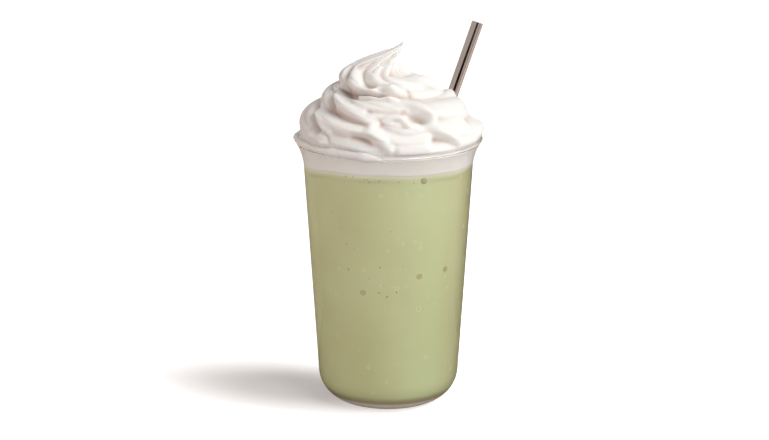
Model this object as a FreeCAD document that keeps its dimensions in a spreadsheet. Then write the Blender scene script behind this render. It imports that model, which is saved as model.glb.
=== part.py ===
"""Matcha frappe in its clear cup: the cup, the blended drink, the piped cream and the straw.

Millimetres, +Z up, with the origin at the centre of the cup's underside and the front towards -Y.
The driving sizes are kept in one sheet, and every solid is bound to them or worked out from them.
"""

import FreeCAD
import Part
import Sketcher
import math
import os

Vector = FreeCAD.Vector

SIZES = {
    # the cup: its outer skin, then its thicknesses
    "cup_height": 142.0,
    "rim_radius": 49.0,
    "bead_radius": 0.9,
    "lip_height": 16.0,
    "lip_flare": 5.0,
    "base_radius": 36.9,
    "corner_radius": 16.6,
    "wall": 0.6,
    "base_plate": 1.2,
    "ring_width": 2.8,
    "recess_depth": 1.6,
    "recess_slope": 3.0,
    # how far below the rim the drink's level lies, and the cream that fills it from wall to wall
    "drink_drop": 13.0,
    "cream_drop": 2.4,
    # the straw: a plain tube that stands on the cup's floor and leans to the right and back
    "straw_diameter": 6.0,
    "straw_wall": 0.5,
    "straw_length": 207.8,
    "straw_foot_left": 21.6,
    "straw_foot_front": 11.0,
    "straw_clearance": 0.3,
    "straw_lean": 22.3,
    "straw_heading": 29.7,
    # the swirl: a star-shaped rope of cream that winds inwards and upwards to a curled tip
    "swirl_height": 50.4,
    "swirl_turns": 2.62,
    "swirl_gap": 0.9,
    "heap_height": 30.0,
    "rope_inset": 0.4,
    "rope_end_radius": 7.0,
    "rope_start_rise": 5.0,
    "rope_end_rise": 31.0,
    "rope_start_half_width": 13.0,
    "rope_end_half_width": 9.5,
    "rope_start_half_height": 11.0,
    "rope_end_half_height": 8.5,
    "rope_nose_turns": 0.12,
    "rope_lobes": 7,
    "lobe_depth": 0.1,
    "lobe_depth_change": 0.08,
    "tip_radius": 21.0,
    "tip_length": 26.0,
    "tip_lobe_depth": 0.22,
    "tip_curl_back": 7.5,
    "tip_curl_forward": 7.6,
}


# --- the document and its sheet of sizes -------------------------------------------------------


def make_sheet(doc):
    """Write every driving size into the sheet, one row each: its name, its value and its alias."""
    sheet = doc.addObject("Spreadsheet::Sheet", "sizes")
    for row, (name, value) in enumerate(SIZES.items(), start=1):
        sheet.set(f"A{row}", name)
        sheet.set(f"B{row}", str(value))
        sheet.setAlias(f"B{row}", name)
    doc.recompute()
    return sheet


def origin_plane(body, role):
    """One of the body's own origin planes, by its role."""
    return next(item for item in body.Origin.OriginFeatures if item.Role == role)


def new_sketch(body, name, role):
    """An empty sketch on one of the body's origin planes."""
    sketch = body.newObject("Sketcher::SketchObject", name)
    sketch.AttachmentSupport = [(origin_plane(body, role), "")]
    sketch.MapMode = "FlatFace"
    return sketch


def new_body(doc, label):
    """An empty body with its label."""
    body = doc.addObject("PartDesign::Body", label)
    body.Label = label
    return body


# --- small sketch helpers ----------------------------------------------------------------------

START, END, CENTRE = 1, 2, 3
X_AXIS, Y_AXIS = -1, -2


def add_line(sketch, start, end, construction=False):
    """A straight edge between two points given as (across, up)."""
    segment = Part.LineSegment(Vector(*start, 0), Vector(*end, 0))
    return sketch.addGeometry(segment, construction)


def add_arc(sketch, centre, radius, first, last, construction=False):
    """An arc that runs anticlockwise from one angle to another, in radians."""
    circle = Part.Circle(Vector(*centre, 0), Vector(0, 0, 1), radius)
    return sketch.addGeometry(Part.ArcOfCircle(circle, first, last), construction)


def join(sketch, *pairs):
    """Make pairs of edge ends meet."""
    for first, second in pairs:
        sketch.addConstraint(Sketcher.Constraint("Coincident", *first, *second))


def smooth(sketch, *pairs):
    """Make pairs of edge ends meet with one shared direction."""
    for first, second in pairs:
        sketch.addConstraint(Sketcher.Constraint("Tangent", *first, *second))


def bind(sketch, kind, target, name, value, formula):
    """Add one named dimension and bind it to the sheet."""
    index = sketch.addConstraint(Sketcher.Constraint(kind, *target, value))
    sketch.renameConstraint(index, name)
    sketch.setExpression(f"Constraints.{name}", formula)


# --- the cup's section -------------------------------------------------------------------------


def skin_geometry(size):
    """Where the cup's outer skin turns: the slope of its wall, and its two tangent arcs.

    The wall is the line through the neck that touches the base corner. The flare is the arc that
    leaves the wall at the neck and runs smoothly into the bead round the rim.
    """
    corner = (size["base_radius"] - size["corner_radius"], size["corner_radius"])
    neck = (size["rim_radius"] - size["lip_flare"], size["cup_height"] - size["lip_height"])
    bead = (size["rim_radius"] - size["bead_radius"], size["cup_height"] - size["bead_radius"])
    across, up = neck[0] - corner[0], neck[1] - corner[1]
    slope = math.atan2(across, up) - math.asin(size["corner_radius"] / math.hypot(across, up))
    outward = (math.cos(slope), -math.sin(slope))
    gap = (neck[0] - bead[0], neck[1] - bead[1])
    reach = outward[0] * gap[0] + outward[1] * gap[1]
    bead_radius = size["bead_radius"]
    flare = (gap[0] ** 2 + gap[1] ** 2 - bead_radius ** 2) / (2 * (bead_radius - reach))
    centre = (neck[0] + flare * outward[0], neck[1] + flare * outward[1])
    turn = math.atan2(bead[1] - centre[1], centre[0] - bead[0])
    return {"corner": corner, "neck": neck, "bead": bead, "slope": slope, "outward": outward,
            "flare_radius": flare, "flare_centre": centre, "turn": turn}


def draw_skin(sketch, size, construction):
    """The outer skin from the foot ring to the bead, as four edges that run into each other."""
    place = skin_geometry(size)
    slope, turn, outward = place["slope"], place["turn"], place["outward"]
    corner_radius = size["corner_radius"]
    touch = (place["corner"][0] + corner_radius * outward[0],
             place["corner"][1] + corner_radius * outward[1])
    corner = add_arc(sketch, place["corner"], corner_radius, -math.pi / 2, -slope, construction)
    wall = add_line(sketch, touch, place["neck"], construction)
    flare = add_arc(sketch, place["flare_centre"], place["flare_radius"],
                    math.pi - turn, math.pi - slope, construction)
    bead = add_arc(sketch, place["bead"], size["bead_radius"],
                   -turn, lip_angle(size, place), construction)
    smooth(sketch, ((corner, END), (wall, START)), ((wall, END), (flare, END)),
           ((flare, START), (bead, START)))
    bind(sketch, "Radius", (corner,), "corner_radius", corner_radius, "sizes.corner_radius")
    bind(sketch, "DistanceX", (X_AXIS, START, corner, CENTRE), "corner_across",
         place["corner"][0], "sizes.base_radius - sizes.corner_radius")
    bind(sketch, "DistanceY", (X_AXIS, START, corner, CENTRE), "corner_up",
         place["corner"][1], "sizes.corner_radius")
    bind(sketch, "DistanceX", (X_AXIS, START, wall, END), "neck_radius",
         place["neck"][0], "sizes.rim_radius - sizes.lip_flare")
    bind(sketch, "DistanceY", (X_AXIS, START, wall, END), "neck_height",
         place["neck"][1], "sizes.cup_height - sizes.lip_height")
    bind(sketch, "Radius", (bead,), "bead_radius", size["bead_radius"], "sizes.bead_radius")
    bind(sketch, "DistanceX", (X_AXIS, START, bead, CENTRE), "bead_across",
         place["bead"][0], "sizes.rim_radius - sizes.bead_radius")
    bind(sketch, "DistanceY", (X_AXIS, START, bead, CENTRE), "bead_up",
         place["bead"][1], "sizes.cup_height - sizes.bead_radius")
    return corner, wall, flare, bead


def lip_angle(size, place):
    """The angle round the bead where the inside of the flare runs into it."""
    span = place["flare_radius"] + size["bead_radius"]
    inner = place["flare_radius"] + size["wall"]
    along = (span ** 2 + size["bead_radius"] ** 2 - inner ** 2) / (2 * span)
    return 2 * math.pi - place["turn"] - math.acos(along / size["bead_radius"])


def floor_angle(size):
    """The angle round the inner corner where it meets the floor."""
    floor = size["recess_depth"] + size["base_plate"]
    return -math.asin((size["corner_radius"] - floor) / (size["corner_radius"] - size["wall"]))


def draw_inside(sketch, size, skin, top_angle):
    """The inner skin, one wall's thickness inside the outer one, from the floor up to an angle."""
    corner, wall, flare, _ = skin
    place = skin_geometry(size)
    slope, outward, thickness = place["slope"], place["outward"], size["wall"]
    inner_radius = size["corner_radius"] - thickness
    touch = (place["corner"][0] + inner_radius * outward[0],
             place["corner"][1] + inner_radius * outward[1])
    neck = (place["neck"][0] - thickness * outward[0], place["neck"][1] - thickness * outward[1])
    inner_corner = add_arc(sketch, place["corner"], inner_radius, floor_angle(size), -slope)
    inner_wall = add_line(sketch, touch, neck)
    inner_flare = add_arc(sketch, place["flare_centre"], place["flare_radius"] + thickness,
                          top_angle, math.pi - slope)
    join(sketch, ((inner_corner, CENTRE), (corner, CENTRE)),
         ((inner_flare, CENTRE), (flare, CENTRE)))
    smooth(sketch, ((inner_corner, END), (inner_wall, START)),
           ((inner_wall, END), (inner_flare, END)))
    sketch.addConstraint(Sketcher.Constraint("Parallel", wall, inner_wall))
    bind(sketch, "Distance", (wall, END, inner_wall, END), "wall", thickness, "sizes.wall")
    bind(sketch, "DistanceY", (X_AXIS, START, inner_corner, START), "floor_height",
         size["recess_depth"] + size["base_plate"], "sizes.recess_depth + sizes.base_plate")
    return inner_corner, inner_wall, inner_flare


def revolve(body, sketch, name):
    """Turn the sketch once round the upright axis."""
    feature = body.newObject("PartDesign::Revolution", name)
    feature.Profile = sketch
    feature.ReferenceAxis = (sketch, ["V_Axis"])
    feature.Angle = 360.0
    return feature


def make_cup(doc, size):
    """The clear cup: one moulded wall with a rolled lip, round base corner and recessed foot."""
    body = new_body(doc, "cup")
    sketch = new_sketch(body, "cup_section", "XZ_Plane")
    place = skin_geometry(size)
    floor = size["recess_depth"] + size["base_plate"]
    ring = place["corner"][0] - size["ring_width"]
    recess_radius = ring - size["recess_slope"]
    inner_angle = math.pi - lip_turn(size, place)
    skin = draw_skin(sketch, size, False)
    inside = draw_inside(sketch, size, skin, inner_angle)
    foot = add_line(sketch, (ring, 0), (place["corner"][0], 0))
    ramp = add_line(sketch, (recess_radius, size["recess_depth"]), (ring, 0))
    recess = add_line(sketch, (0, size["recess_depth"]), (recess_radius, size["recess_depth"]))
    axis = add_line(sketch, (0, floor), (0, size["recess_depth"]))
    inner_foot = (place["corner"][0] + (size["corner_radius"] - size["wall"])
                  * math.cos(floor_angle(size)), floor)
    plate = add_line(sketch, inner_foot, (0, floor))
    join(sketch, ((foot, END), (skin[0], START)), ((foot, START), (ramp, END)),
         ((ramp, START), (recess, END)), ((recess, START), (axis, END)),
         ((axis, START), (plate, END)), ((plate, START), (inside[0], START)),
         ((inside[2], START), (skin[3], END)))
    for edge in (recess, plate):
        sketch.addConstraint(Sketcher.Constraint("Horizontal", edge))
    sketch.addConstraint(Sketcher.Constraint("PointOnObject", axis, START, Y_AXIS))
    sketch.addConstraint(Sketcher.Constraint("PointOnObject", axis, END, Y_AXIS))
    sketch.addConstraint(Sketcher.Constraint("PointOnObject", foot, START, X_AXIS))
    bind(sketch, "DistanceX", (X_AXIS, START, skin[0], START), "ring_outer",
         place["corner"][0], "sizes.base_radius - sizes.corner_radius")
    bind(sketch, "DistanceX", (foot, START, foot, END), "ring_width",
         size["ring_width"], "sizes.ring_width")
    bind(sketch, "DistanceX", (ramp, START, ramp, END), "recess_slope",
         size["recess_slope"], "sizes.recess_slope")
    bind(sketch, "DistanceY", (X_AXIS, START, recess, END), "recess_depth",
         size["recess_depth"], "sizes.recess_depth")
    revolve(body, sketch, "cup_turned")
    return body


def lip_turn(size, place):
    """How far the inside of the flare has turned from the upright where it meets the bead."""
    angle = lip_angle(size, place)
    across = place["bead"][0] + size["bead_radius"] * math.cos(angle)
    up = place["bead"][1] + size["bead_radius"] * math.sin(angle)
    return math.atan2(up - place["flare_centre"][1], place["flare_centre"][0] - across)


def make_cavity(doc, size):
    """The room inside the cup, up to where the cream stops filling it from wall to wall."""
    body = new_body(doc, "cavity")
    sketch = new_sketch(body, "cavity_section", "XZ_Plane")
    place = skin_geometry(size)
    floor = size["recess_depth"] + size["base_plate"]
    top = size["cup_height"] - size["cream_drop"]
    reach = place["flare_radius"] + size["wall"]
    turn = math.asin((top - place["flare_centre"][1]) / reach)
    skin = draw_skin(sketch, size, True)
    inside = draw_inside(sketch, size, skin, math.pi - turn)
    edge = (place["flare_centre"][0] - reach * math.cos(turn), top)
    inner_foot = (place["corner"][0] + (size["corner_radius"] - size["wall"])
                  * math.cos(floor_angle(size)), floor)
    lid = add_line(sketch, edge, (0, top))
    axis = add_line(sketch, (0, top), (0, floor))
    plate = add_line(sketch, (0, floor), inner_foot)
    join(sketch, ((inside[2], START), (lid, START)), ((lid, END), (axis, START)),
         ((axis, END), (plate, START)), ((plate, END), (inside[0], START)))
    for level in (lid, plate):
        sketch.addConstraint(Sketcher.Constraint("Horizontal", level))
    sketch.addConstraint(Sketcher.Constraint("PointOnObject", axis, START, Y_AXIS))
    sketch.addConstraint(Sketcher.Constraint("PointOnObject", axis, END, Y_AXIS))
    bind(sketch, "DistanceX", (X_AXIS, START, skin[0], START), "ring_outer",
         place["corner"][0], "sizes.base_radius - sizes.corner_radius")
    bind(sketch, "DistanceY", (X_AXIS, START, lid, START), "cream_height",
         top, "sizes.cup_height - sizes.cream_drop")
    revolve(body, sketch, "cavity_turned")
    return body


# --- the straw ---------------------------------------------------------------------------------


def straw_place():
    """The straw's placement as a formula: its foot just clears the floor, and it leans back."""
    foot_height = ("sizes.recess_depth + sizes.base_plate + sizes.straw_clearance"
                   " + sizes.straw_diameter / 2 * sin(sizes.straw_lean)")
    foot = f"vector(-sizes.straw_foot_left; -sizes.straw_foot_front; {foot_height})"
    hinge = "vector(-sin(sizes.straw_heading); cos(sizes.straw_heading); 0)"
    return f"placement({foot}; rotation({hinge}; sizes.straw_lean))"


def make_straw(doc, size):
    """The straw: a plain round tube with open ends."""
    body = new_body(doc, "straw")
    sketch = new_sketch(body, "straw_section", "XY_Plane")
    outer = sketch.addGeometry(Part.Circle(Vector(), Vector(0, 0, 1), size["straw_diameter"] / 2))
    bore = size["straw_diameter"] / 2 - size["straw_wall"]
    inner = sketch.addGeometry(Part.Circle(Vector(), Vector(0, 0, 1), bore))
    join(sketch, ((outer, CENTRE), (X_AXIS, START)), ((inner, CENTRE), (X_AXIS, START)))
    bind(sketch, "Diameter", (outer,), "straw_diameter", size["straw_diameter"],
         "sizes.straw_diameter")
    bind(sketch, "Radius", (inner,), "bore", bore, "sizes.straw_diameter / 2 - sizes.straw_wall")
    tube = body.newObject("PartDesign::Pad", "straw_tube")
    tube.Profile = sketch
    tube.setExpression("Length", "sizes.straw_length")
    body.setExpression("Placement", straw_place())
    return body


def make_straw_space(doc):
    """The whole space the straw takes up, for the drink and the cream to be cut round."""
    space = doc.addObject("Part::Cylinder", "straw_space")
    space.setExpression("Radius", "sizes.straw_diameter / 2")
    space.setExpression("Height", "sizes.straw_length")
    space.setExpression("Placement", straw_place())
    return space


# --- the piped swirl ---------------------------------------------------------------------------

ROUND, ROWS = 120, 66       # control points round the swirl, and rows of them from foot to tip
BLEND = 22.0                # how tightly neighbouring turns of the rope merge: more is sharper
RAY_STEP = 0.8              # the step of each ray inwards, before the hit is narrowed down
HALVINGS = 12


def foot_radius(size):
    """The radius of the swirl's foot, which just clears the wall and the bead round the rim."""
    place = skin_geometry(size)
    reach = place["flare_radius"] + size["wall"]
    up = size["cup_height"] - size["cream_drop"] - place["flare_centre"][1]
    wall_radius = place["flare_centre"][0] - math.sqrt(reach ** 2 - up ** 2)
    return min(wall_radius, size["rim_radius"] - 2 * size["bead_radius"]) - size["swirl_gap"]


def ease(share):
    """Run smoothly from 0 to 1 as the share does."""
    share = min(max(share, 0.0), 1.0)
    return share * share * (3 - 2 * share)


def blend(size, name, share):
    """A size of the rope that changes evenly from its start to its end."""
    start, end = size[f"rope_start_{name}"], size[f"rope_end_{name}"]
    return start + (end - start) * share


def rope_centre(turns, size):
    """Radius and height of the rope's centre line after a number of turns."""
    share = max(turns, 0.0) / size["swirl_turns"]
    radius = size["rim_radius"] - size["rope_inset"] - size["rope_start_half_width"]
    radius += (size["rope_end_radius"] - radius) * share ** 1.7
    return radius, size["cup_height"] + blend(size, "rise", share ** 1.5)


def star(angle, lobes, depth):
    """1 on the crest of a lobe and 1 - depth in the sharp furrow between two."""
    return 1 - depth * (1 - abs(math.sin(lobes * angle / 2))) ** 1.6


def rope_reach(across, height, turns, size):
    """How far out a point lies in the rope's star section, as a share of the section's size.

    The furrows between the star's lobes are shallow at the right front and deep at the left back.
    """
    radius, centre = rope_centre(turns, size)
    share = max(turns, 0.0) / size["swirl_turns"]
    aside = (across - radius) / blend(size, "half_width", share)
    above = (height - centre) / blend(size, "half_height", share)
    angle = math.atan2(above, aside) - 2 * math.pi * turns - 0.3
    past_end = max(-turns, turns - size["swirl_turns"], 0.0) / size["rope_nose_turns"]
    if past_end >= 1:
        return 9.0
    depth = size["lobe_depth"]
    depth -= size["lobe_depth_change"] * math.cos(2 * math.pi * (turns - 0.13))
    full = star(angle, size["rope_lobes"], depth) * math.sqrt(1 - past_end ** 2)
    return math.hypot(aside, above) / full


def heap_reach(across, height, size):
    """The same for the heap under the rope, a blunt cone that fills the rim all round."""
    aside = abs(across) / foot_radius(size)
    return aside ** 1.25 + (height - size["cup_height"]) / size["heap_height"]


def tip_reach(across, height, heading, size):
    """The same for the tip, a star cone that narrows to the top and turns as it rises."""
    top = size["cup_height"] + size["swirl_height"]
    share = (height - top) / size["tip_length"] + 1
    if share < -0.25 or share >= 1:
        return 9.0
    share = max(share, 0.0)
    radius = size["tip_radius"] * (1 - share ** 1.6) ** 1.5
    crest = star(heading + 2.2 * share + 0.12, size["rope_lobes"], size["tip_lobe_depth"])
    return across / (radius * crest + 1e-3)


def in_cream(across, height, heading, size):
    """Whether a point is in the cream: near the rope's turns and the tip, softly merged."""
    reaches = [tip_reach(across, height, heading, size), heap_reach(across, height, size)]
    turns = heading / (2 * math.pi) - 1
    while turns < size["swirl_turns"] + size["rope_nose_turns"]:
        reaches.append(rope_reach(across, height, turns, size))
        turns += 1
    return sum(math.exp(-BLEND * min(reach, 9.0)) for reach in reaches) > math.exp(-BLEND)


def swirl_outline(size):
    """A plain dome just like the swirl, as points from its foot to its top, and their spacing."""
    foot = size["cup_height"] + size["swirl_gap"]
    height = size["swirl_height"] - size["swirl_gap"]
    steps = 400
    dome = []
    for step in range(steps + 1):
        share = step / steps
        radius = size["rim_radius"] * (1 - share ** 1.5) ** 1.15
        dome.append((radius, foot + height * share))
    length = [0.0]
    for before, after in zip(dome, dome[1:]):
        length.append(length[-1] + math.dist(before, after))
    return dome, length


def at_share(dome, length, share):
    """The point of the dome at a share of its length."""
    goal = share * length[-1]
    index = next(i for i in range(1, len(length)) if length[i] >= goal - 1e-9)
    part = (goal - length[index - 1]) / (length[index] - length[index - 1])
    low, high = dome[index - 1], dome[index]
    return low[0] + (high[0] - low[0]) * part, low[1] + (high[1] - low[1]) * part


def find_skin(start, tilt, heading, size):
    """Follow a ray from outside the dome, inwards and down at a tilt, to the cream's skin."""
    slope = math.tan(tilt)
    axis_height = start[1] - start[0] * slope
    across = start[0] + size["rope_start_half_width"]
    while across > 0 and not in_cream(across, axis_height + across * slope, heading, size):
        across -= RAY_STEP
    inner, outer = max(across, 0.0), across + RAY_STEP
    for _ in range(HALVINGS):
        middle = (inner + outer) / 2
        if in_cream(middle, axis_height + middle * slope, heading, size):
            inner = middle
        else:
            outer = middle
    return inner, axis_height + inner * slope


def curl(height, size):
    """How far the peak is drawn sideways: first back, then forward into the curled tip."""
    top = size["cup_height"] + size["swirl_height"]
    share = min(max((height - top) / (size["tip_length"] * 1.25) + 1, 0.0), 1.0)
    back = size["tip_curl_back"] * (1 - math.cos(2 * math.pi * share)) / 2
    return size["tip_curl_forward"] * ease((share - 0.6) / 0.4) - back


def swirl_net(size):
    """The control net: upright columns of points round the swirl, each from foot to tip."""
    dome, length = swirl_outline(size)
    foot = foot_radius(size)
    foot_height = size["cup_height"] - size["cream_drop"]
    top = Vector(size["tip_curl_forward"], 0, size["cup_height"] + size["swirl_height"])
    net = []
    for column in range(ROUND):
        heading = 2 * math.pi * column / ROUND
        ring = [(foot, foot_height),
                (foot, foot_height + size["cream_drop"] / 2),
                (foot, size["cup_height"] + size["swirl_gap"] / 2)]
        for row in range(ROWS):
            share = (row + 0.5) / ROWS
            tilt = math.radians(42) * ease(2 * share)
            ring.append(find_skin(at_share(dome, length, share), tilt, heading, size))
        points = [Vector(across * math.cos(heading) + curl(height, size),
                         -across * math.sin(heading), height) for across, height in ring]
        net.append(points + [top])
    return net


def make_swirl(doc, size):
    """The swirl as one smooth skin over its control net, closed by a flat foot."""
    net = swirl_net(size)
    surface = Part.BSplineSurface()
    rows = len(net[0])
    surface.buildFromPolesMultsKnots(
        net, [1] * (ROUND + 1), [4] + [1] * (rows - 4) + [4],
        list(range(ROUND + 1)), list(range(rows - 2)), True, False, 3, 3)
    skin = surface.toShape()
    foot_edge = min(skin.Edges, key=lambda edge: edge.BoundBox.ZMax)
    foot = Part.Face(Part.Wire([foot_edge]))
    foot.reverse()
    swirl = doc.addObject("Part::Feature", "swirl")
    swirl.Shape = Part.Solid(Part.Shell([skin, foot]))
    return swirl


# --- what fills the cup, and the whole ---------------------------------------------------------


def combine(doc, kind, label, base, tool):
    """A boolean of two objects: a cut, a fuse or a common."""
    result = doc.addObject(kind, label)
    result.Label = label
    result.Base = base
    result.Tool = tool
    return result


def make_contents(doc, size, straw_space):
    """The drink up to its level and the cream above it, both cut round the straw."""
    cavity = make_cavity(doc, size)
    below = doc.addObject("Part::Cylinder", "drink_slab")
    below.setExpression("Radius", "sizes.rim_radius")
    below.setExpression("Height", "sizes.cup_height - sizes.drink_drop")
    drink = combine(doc, "Part::Common", "drink_fill", cavity, below)
    frappe = combine(doc, "Part::Cut", "frappe", drink, straw_space)
    fill = combine(doc, "Part::Cut", "cream_fill", cavity, below)
    heap = combine(doc, "Part::Fuse", "cream_heap", fill, make_swirl(doc, size))
    cream = combine(doc, "Part::Cut", "cream", heap, straw_space)
    return frappe, cream


def check_and_export(doc, parts):
    """Stop if anything failed to build, then write each part to its own file."""
    for item in doc.Objects:
        if "Invalid" in item.State or "Error" in item.State:
            raise RuntimeError(f"{item.Name} failed to build: {item.State}")
    for item in parts:
        shape = item.Shape
        if shape.isNull() or not shape.isValid() or len(shape.Solids) != 1:
            raise RuntimeError(f"{item.Label} is not one valid solid")
    os.makedirs("parts", exist_ok=True)
    for item in parts:
        item.Shape.exportStep(os.path.join("parts", f"{item.Label}.step"))
        print(f"{item.Label}: {item.Shape.Volume / 1000:.1f} ml, box {item.Shape.BoundBox}")


def main():
    """Build the whole drink."""
    doc = FreeCAD.newDocument("matcha_frappe")
    make_sheet(doc)
    cup = make_cup(doc, SIZES)
    straw = make_straw(doc, SIZES)
    frappe, cream = make_contents(doc, SIZES, make_straw_space(doc))
    doc.recompute()
    check_and_export(doc, [cup, frappe, cream, straw])


main()
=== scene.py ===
# %% [markdown]
# # A matcha frappe in a clear cup
#
# This notebook dresses a measured model of a blended green tea drink: a clear cup with a flared
# lip, a pale green drink, a swirl of piped cream and a slanting steel straw. The measured model is
# loaded as a fixed frame, and each step below either gives one of its parts a finish or puts a
# more detailed surface in its place. Everything is in metres, with Z up, the front towards -Y and
# the origin under the middle of the cup.

# %% Load the frame
import math

import bpy
import numpy as np
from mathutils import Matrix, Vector


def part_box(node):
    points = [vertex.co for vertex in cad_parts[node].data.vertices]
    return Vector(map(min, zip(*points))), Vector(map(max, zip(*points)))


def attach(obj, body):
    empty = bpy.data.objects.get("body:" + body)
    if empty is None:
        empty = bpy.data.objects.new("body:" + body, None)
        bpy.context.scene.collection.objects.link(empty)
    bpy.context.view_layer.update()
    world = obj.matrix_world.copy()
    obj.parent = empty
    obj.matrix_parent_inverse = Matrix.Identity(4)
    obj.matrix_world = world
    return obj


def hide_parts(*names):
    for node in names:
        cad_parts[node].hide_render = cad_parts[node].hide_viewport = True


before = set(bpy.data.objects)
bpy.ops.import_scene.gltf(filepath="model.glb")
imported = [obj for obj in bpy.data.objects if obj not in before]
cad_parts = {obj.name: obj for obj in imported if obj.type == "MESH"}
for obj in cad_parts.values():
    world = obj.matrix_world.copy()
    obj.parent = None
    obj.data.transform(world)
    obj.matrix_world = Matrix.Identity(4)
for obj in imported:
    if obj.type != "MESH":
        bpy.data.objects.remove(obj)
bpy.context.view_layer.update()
cup_low, cup_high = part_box("cup")
cream_low, cream_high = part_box("cream")
MM = 0.001
RIM_HEIGHT = cup_high[2]
RIM_RADIUS = (cup_high[0] - cup_low[0]) / 2
LEVEL = cream_low[2]
print("cup", round(RIM_HEIGHT / MM, 1), "mm tall, rim radius", round(RIM_RADIUS / MM, 1), "mm")

# %% [markdown]
# ## From a grid of points to a mesh
#
# Every new surface here is a function of two parameters, worked out on a grid as whole arrays.
# The first parameter runs round the cup and closes on itself, and the second runs from the bottom
# to the top. Neighbouring grid points make the corners of one four-sided face. A row that shrinks
# to one point, such as a tip, is closed by a fan of triangles to a single vertex.

# %% Grid helpers
def round_angles(count):
    """Evenly spaced angles once round, as a column."""
    return np.linspace(0, 2 * np.pi, count, endpoint=False)[:, None]


def around(radius, angle, height):
    """Points round the upright axis: (radius cos(angle), radius sin(angle), height)."""
    return np.stack(np.broadcast_arrays(radius * np.cos(angle), radius * np.sin(angle), height),
                    axis=-1)


def grid_faces(index, joined):
    """Four-sided faces from the point numbers of grids, as an array (..., round, rows).

    Face (i, j) joins the grid points (i, j), (i+1, j), (i+1, j+1) and (i, j+1), with i counted
    round modulo the number of columns. joined closes the rows on themselves in the same way.
    """
    after = np.roll(index, -1, axis=-2)
    faces = np.stack([index, after, np.roll(after, -1, axis=-1), np.roll(index, -1, axis=-1)], -1)
    return faces if joined else faces[..., :-1, :]


def add_mesh(name, points, faces, smooth=True):
    """An object made of these points and faces, linked into the scene."""
    mesh = bpy.data.meshes.new(name)
    mesh.from_pydata(np.asarray(points).tolist(), [], faces)
    if smooth:
        mesh.shade_smooth()
    piece = bpy.data.objects.new(name, mesh)
    bpy.context.scene.collection.objects.link(piece)
    return piece


def add_surface(name, grid, start=None, end=None, joined=False):
    """A closed-round mesh from an array of shape (round, rows, 3).

    start and end are single points that close the first and the last row with fans of triangles.
    """
    count, rows = grid.shape[:2]
    index = np.arange(count * rows).reshape(count, rows)
    after = np.roll(index, -1, axis=0)
    points = [grid.reshape(-1, 3)]
    faces = grid_faces(index, joined).reshape(-1, 4).tolist()
    for pole, row, turn in ((start, 0, -1), (end, -1, 1)):
        if pole is not None:
            tip = np.full(count, sum(len(block) for block in points))
            points.append(np.array([pole]))
            faces += np.stack([index[:, row], after[:, row], tip], axis=-1)[:, ::turn].tolist()
    return add_mesh(name, np.concatenate(points), faces)


def add_values(piece, name, grid, end=0.0):
    """Store one number per point, in the same order as add_surface lays the points out.

    The point that closes the first row gets 0, and the one that closes the last row gets end.
    """
    values = np.append(np.ravel(grid), [0.0, end])[:len(piece.data.vertices)]
    layer = piece.data.attributes.new(name, "FLOAT", "POINT")
    layer.data.foreach_set("value", values.astype(np.float32))


# %% [markdown]
# ## Where the camera stands
#
# A tall cup is best seen from a little above, through a long lens, so that its sides stay almost
# upright and the rim opens into a thin ellipse. The camera looks down by about fifteen degrees at
# a point a little above the middle of the cup.

# %% Camera
PITCH = math.radians(14.85)
DISTANCE = 1.3
aim = Vector((-0.002, 0.0, 0.0966))
camera_data = bpy.data.cameras.new("camera")
camera_data.lens = 116.1
camera_data.sensor_width = 36.0
camera_data.clip_start = 0.01
camera = bpy.data.objects.new("camera", camera_data)
camera.location = aim + DISTANCE * Vector((0, -math.cos(PITCH), math.sin(PITCH)))
camera.rotation_euler = (math.pi / 2 - PITCH, 0, 0)
bpy.context.scene.collection.objects.link(camera)
bpy.context.scene.camera = camera
print("camera at", [round(value, 3) for value in camera.location])

# %% [markdown]
# ## Lamps
#
# White cream on a white ground loses its folds in even light, so the light has a clear side. A
# large lamp at the right front models the folds, a smaller one higher at the right lights their
# tops, and a weak warm lamp keeps the left side open. Mirror rays don't see the lamps, so no
# bright squares show in the cup or down the straw.

# %% Lamps
LIT_POINT = Vector((0, 0, 0.1))


def add_lamp(name, place, size, watts, colour):
    """A square area lamp at a place, turned to face the cup and hidden from mirror rays."""
    lamp = bpy.data.lights.new(name, "AREA")
    lamp.color = colour
    lamp.size = size
    lamp.energy = watts
    holder = bpy.data.objects.new(name, lamp)
    holder.location = place
    holder.rotation_euler = (LIT_POINT - Vector(place)).to_track_quat("-Z", "Y").to_euler()
    holder.visible_glossy = False
    bpy.context.scene.collection.objects.link(holder)
    return holder


lamps = [add_lamp("key_lamp", (0.76, -0.96, 0.95), 0.8, 12.6, (0.975, 1.0, 0.98)),
         add_lamp("side_lamp", (1.1, -0.15, 1.05), 0.6, 10.0, (1.0, 0.99, 0.97)),
         add_lamp("fill_lamp", (-1.4, -0.25, 0.5), 1.0, 6.6, (1.0, 0.82, 0.745))]
print("lamps:", [lamp.name for lamp in lamps])

# %% [markdown]
# ## Nodes that come back
#
# The sky, the floor and every finish are small trees of nodes. One helper fills the inputs of a
# node by name, with plain values or with links, and one adds a new node. The rest are the nodes
# that come back in most trees: a sum or product, a smooth step, a mask along an axis, a mix of two
# colours. Each adds its node to the tree and gives back its output.

# %% Node helpers
def fill(tree, node, inputs):
    """Fill a node's inputs by name or number: outputs are linked, and plain values are set."""
    for name, value in inputs.items():
        socket = node.inputs[name]
        if isinstance(value, bpy.types.NodeSocket):
            tree.links.new(value, socket)
        elif socket.type == "RGBA":
            socket.default_value = (*value, 1)
        else:
            socket.default_value = value


def add_node(tree, kind, inputs, **settings):
    """Add a node of a kind, set its settings, fill its inputs and give it back."""
    node = tree.nodes.new("ShaderNode" + kind)
    for name, value in settings.items():
        setattr(node, name, value)
    fill(tree, node, inputs)
    return node


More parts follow.
